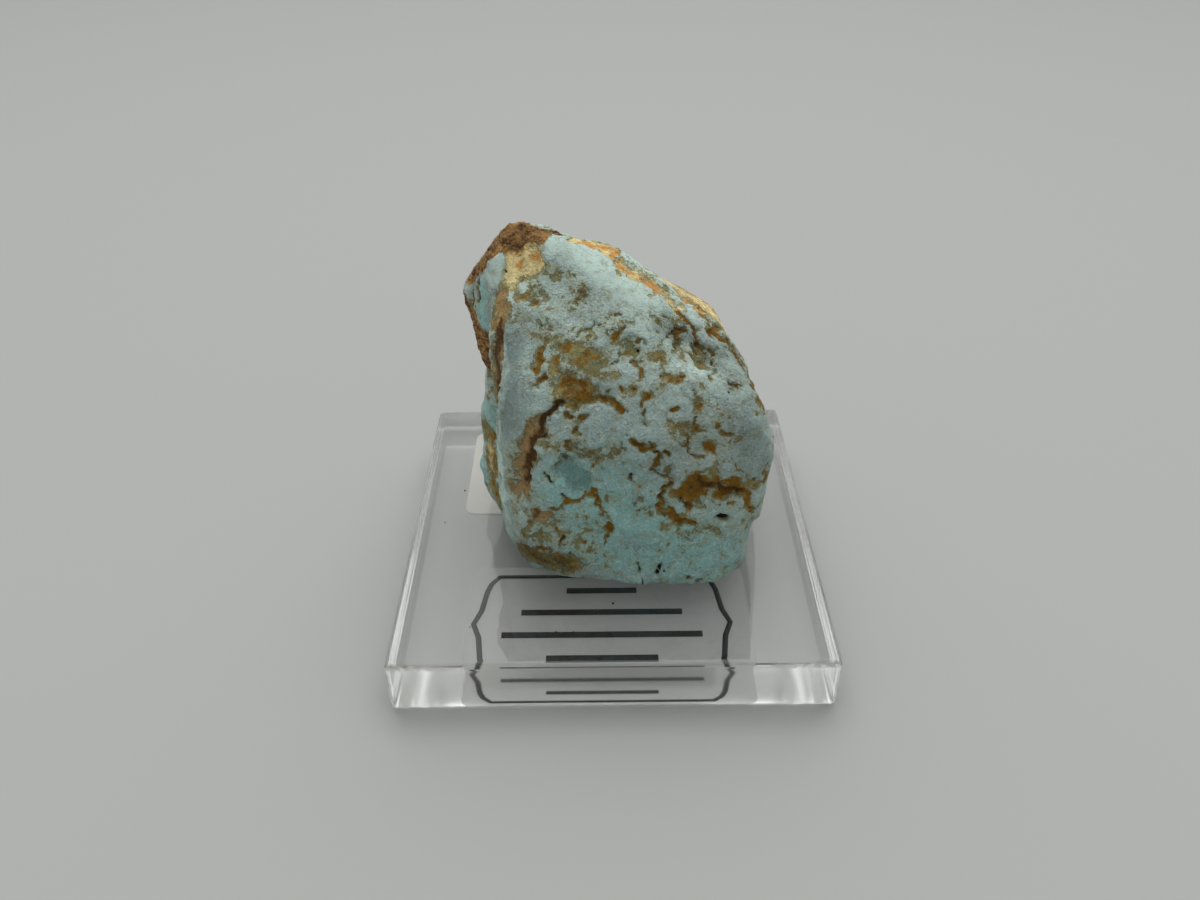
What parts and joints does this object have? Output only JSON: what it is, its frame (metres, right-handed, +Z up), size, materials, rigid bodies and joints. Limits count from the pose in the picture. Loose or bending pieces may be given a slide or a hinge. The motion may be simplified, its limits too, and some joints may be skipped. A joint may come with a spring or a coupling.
{
  "type": "raw turquoise nugget on a clear display block",
  "caption": "Rough turquoise nugget with brown host rock, standing on a square clear acrylic display block with labels under it.",
  "frame": {"origin": "middle of the square underside, on the surface that the block stands on", "axes": "+Z up, +X to the right and -Y to the front of the stone's broad pale face"},
  "size_m": [0.07, 0.07, 0.0649],
  "materials": {
    "turquoise": "chalky pale blue-green rind, matte, with ochre and brown iron stains, pits and brown host rock",
    "acrylic": "clear cast acrylic with polished faces and edges",
    "clear_film": "clear adhesive film, slightly hazy, with a thin black ornamental line",
    "cream_paper": "plain matte cream label"
  },
  "bodies": {
    "root": {"turquoise_nugget": "turquoise", "acrylic_block": "acrylic", "printed_label": "clear_film", "plain_label": "cream_paper"}
  },
  "joints": []
}
